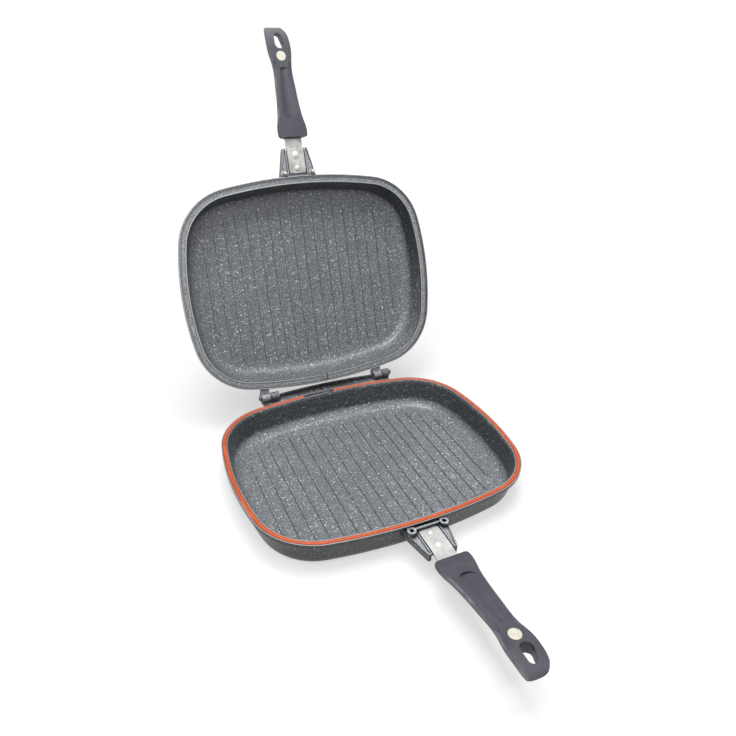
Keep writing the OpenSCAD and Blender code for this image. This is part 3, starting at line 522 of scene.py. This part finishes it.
screw_steel, tree, shader = new_material("plated_screw")
place = put(tree, "TexCoord").outputs["Object"]
surface = use_group(tree, grain, {"Vector": place, "Scale": 1700.0})
tree.links.new(tint(tree, surface.outputs["Tone"], (0.5, 0.5, 0.49, 1), (0.68, 0.68, 0.66, 1)),
               shader.inputs["Base Color"])
shader.inputs["Metallic"].default_value = 1.0
tree.links.new(ramp(tree, surface.outputs["Height"], 0.3, 0.7, 0.25, 0.4),
               shader.inputs["Roughness"])

pin_steel, tree, shader = new_material("oversprayed_pin")
place = put(tree, "TexCoord").outputs["Object"]
coat = use_group(tree, stone, {"Vector": place, "Ground": (0.10, 0.102, 0.108, 1),
                               "Shade": (0.035, 0.036, 0.04, 1),
                               "Fleck": (0.5, 0.5, 0.49, 1), "Spray": 0.5})
tree.links.new(coat.outputs["Color"], shader.inputs["Base Color"])
shader.inputs["Metallic"].default_value = 0.7
tree.links.new(coat.outputs["Roughness"], shader.inputs["Roughness"])
bump = put(tree, "Bump", {"Height": coat.outputs["Height"], "Strength": 0.3,
                          "Distance": 0.0001})
tree.links.new(bump.outputs["Normal"], shader.inputs["Normal"])
for half in ("lower", "upper"):
    nodes[f"{half}_grip_screw"].data.materials.clear()
    nodes[f"{half}_grip_screw"].data.materials.append(screw_steel)
for node in ("hinge_pin_left", "hinge_pin_right"):
    nodes[node].data.materials.clear()
    nodes[node].data.materials.append(pin_steel)
for node in ("locating_peg_left", "locating_peg_right"):
    nodes[node].data.materials.clear()
    nodes[node].data.materials.append(screw_steel)


# The lid. It is the second casting, with the same coat inside and out. Its rim
# is coated too, and only its thin edges are rubbed pale.


HINGE_Y = 0.1337
HINGE_Z = 0.0404


def lid_masks(tree, place):
    """Places are found in the frame of the shut lid. Bright metal: the edge of the skirt and the
    two lands of the rim, rubbed pale. Spray, which also paints light and shade: thinner on the
    walls than on the floor and the rim, so the walls read darker, with the front wall darkest and
    the wall by the hinge lightest, thicker on the flat faces of the bracket, and almost none on
    the upright sides of the rim's steps, as painted shade. Deeper painted corner shade: bracket
    and rim."""
    back = Matrix.Rotation(OPEN_ANGLE, 3, "X")
    hinge = Vector((0.0, HINGE_Y, HINGE_Z))
    shut = hinge - back @ hinge - Vector((0.0, 0.0, PARTING))
    local = put(tree, "Mapping", {"Vector": place, "Rotation": (OPEN_ANGLE, 0.0, 0.0),
                                  "Location": shut}, vector_type="POINT").outputs["Vector"]
    axes = put(tree, "SeparateXYZ", {"Vector": local})
    height, depth = axes.outputs["Z"], axes.outputs["Y"]
    skirt = ramp(tree, height, -0.00085, -0.00105, 0.0, 0.55)
    lands = ramp(tree, sums(tree, "ABSOLUTE", sums(tree, "SUBTRACT", height, 0.0004)),
                 0.00022, 0.00012, 0.0, 0.8)
    rim = sums(tree, "LESS_THAN", sums(tree, "ABSOLUTE", depth), -BRACKET_FROM)
    # painted shade: the walls get less spray than the floor, so they read darker; the front wall
    # is darkened furthest up and the wall by the hinge least
    deep = sums(tree, "SUBTRACT", height, ramp(tree, depth, -0.105, -0.07, 0.004, 0.0))
    wall = sums(tree, "MULTIPLY", ramp(tree, height, 0.0015, 0.003),
                ramp(tree, deep, 0.019, 0.026, 1.0, 0.0))
    wall = sums(tree, "MULTIPLY", wall, rim)
    wall = sums(tree, "MULTIPLY", wall, ramp(tree, depth, -0.1, 0.1, 1.0, 0.35))
    floors = ramp(tree, wall, 0.0, 1.0, 0.465, 0.04)
    bracket = ramp(tree, depth, BRACKET_FROM, BRACKET_CLEAR)
    facing = put(tree, "VectorMath", {0: put(tree, "TexCoord").outputs["Normal"],
                                      1: (0.0, -math.sin(OPEN_ANGLE), -math.cos(OPEN_ANGLE))},
                 operation="DOT_PRODUCT").outputs["Value"]
    # painted light: the bracket's faces that lie like the lid's face get more spray than its
    # sides, so they read lighter
    flat_side = ramp(tree, sums(tree, "ABSOLUTE", facing), 0.5, 0.9, 0.1, 1.5)
    edge = ramp(tree, height, 0.003, 0.0015)
    # painted shade: the upright sides of the rim's steps get almost no spray, so they draw dark
    # lines between the pale faces
    step = ramp(tree, sums(tree, "ABSOLUTE", facing), 0.3, 0.7, 0.05, 1.0)
    step = sums(tree, "MAXIMUM", step, sums(tree, "SUBTRACT", 1.0, rim))
    pale = sums(tree, "MAXIMUM", sums(tree, "MULTIPLY", bracket, flat_side),
                sums(tree, "MULTIPLY", edge, step))
    inside = sums(tree, "SUBTRACT", 1.0, sums(tree, "MAXIMUM", bracket, edge))
    floors = sums(tree, "MULTIPLY", floors, inside)
    return (sums(tree, "MULTIPLY", sums(tree, "MAXIMUM", skirt, lands), rim),
            sums(tree, "MAXIMUM", floors, pale), sums(tree, "MAXIMUM", bracket, edge))


upper_cast = cast_copy("upper_pan", "upper_pan_casting", "upper_half")
upper_cast.data.materials.clear()
upper_cast.data.materials.append(stone_coat("stone_coat_upper", lid_masks))


# The studio: a pale floor that runs on into a white surround, three soft boxes
# of one size, and a camera where the photograph was taken from.

bpy.ops.mesh.primitive_plane_add(size=14.0, location=(0.0, 0.0, 0.0))
floor = bpy.context.active_object
floor.name = "studio_floor"
floor_paint = bpy.data.materials.new("pale_floor")
floor_paint.use_nodes = True
tree = floor_paint.node_tree
tree.nodes.clear()
out = put(tree, "OutputMaterial")
place = put(tree, "TexCoord").outputs["Object"]
reach = put(tree, "VectorMath", {0: place}, operation="LENGTH").outputs["Value"]
away = ramp(tree, reach, 0.4, 1.3, 0.6, 1.0)


def seen_white(tree):
    """1 for the rays that show the white surround: straight from the camera,
    off a shiny surface or through a clear one."""
    path = put(tree, "LightPath")
    shiny = sums(tree, "MAXIMUM", path.outputs["Is Glossy Ray"],
                 path.outputs["Is Transmission Ray"])
    return sums(tree, "MAXIMUM", path.outputs["Is Camera Ray"], shiny)


paint = put(tree, "BsdfDiffuse", {"Color": (0.5, 0.5, 0.5, 1)}).outputs["BSDF"]
white = put(tree, "Emission", {"Color": (1, 1, 1, 1),
                               "Strength": sums(tree, "MULTIPLY", seen_white(tree), away)})
both = put(tree, "AddShader", {0: paint, 1: white.outputs["Emission"]})
tree.links.new(both.outputs[0], out.inputs["Surface"])
floor.data.materials.append(floor_paint)

world = bpy.data.worlds.new("white_surround")
bpy.context.scene.world = world
world.use_nodes = True
tree = world.node_tree
tree.nodes.clear()
out = put(tree, "OutputWorld")
sky = put(tree, "Background", {"Color": (0.96, 0.98, 1.0, 1), "Strength": 0.03}).outputs[0]
white = put(tree, "Background", {"Color": (1, 1, 1, 1), "Strength": 1.0}).outputs[0]
mixed = put(tree, "MixShader", {0: seen_white(tree), 1: sky, 2: white})
tree.links.new(mixed.outputs[0], out.inputs["Surface"])


SOFT_BOX = 1.0   # width and height of each


def lamp(name, place, aim, power):
    """A soft box at a place, turned to a point."""
    light = bpy.data.lights.new(name, "AREA")
    light.shape = "RECTANGLE"
    light.size = SOFT_BOX
    light.size_y = SOFT_BOX
    light.energy = power
    made = bpy.data.objects.new(name, light)
    bpy.context.scene.collection.objects.link(made)
    made.location = place
    made.rotation_euler = (Vector(place) - Vector(aim)).to_track_quat("Z", "Y").to_euler()


lamp("overhead", (0.0, 0.0, 1.8), (0.0, 0.0, 0.05), 24.0)
lamp("front_left_box", (-0.8, -0.5, 1.6), (0.0, 0.0, 0.1), 9.4)
lamp("front_box", (0.0, -1.4, 1.3), (0.0, 0.1, 0.15), 5.6)

camera_data = bpy.data.cameras.new("photo_camera")
camera_data.sensor_width = 36.0
camera_data.lens = 31.91
camera_data.shift_x = -0.0032
camera_data.shift_y = -0.0423
camera_data.clip_start = 0.01
camera = bpy.data.objects.new("photo_camera", camera_data)
bpy.context.scene.collection.objects.link(camera)
camera.location = (-0.25942, -0.52484, 0.48811)
camera.rotation_euler = tuple(math.radians(a) for a in (61.934, -1.948, -24.818))
bpy.context.scene.camera = camera
bpy.context.scene.view_settings.view_transform = "Standard"
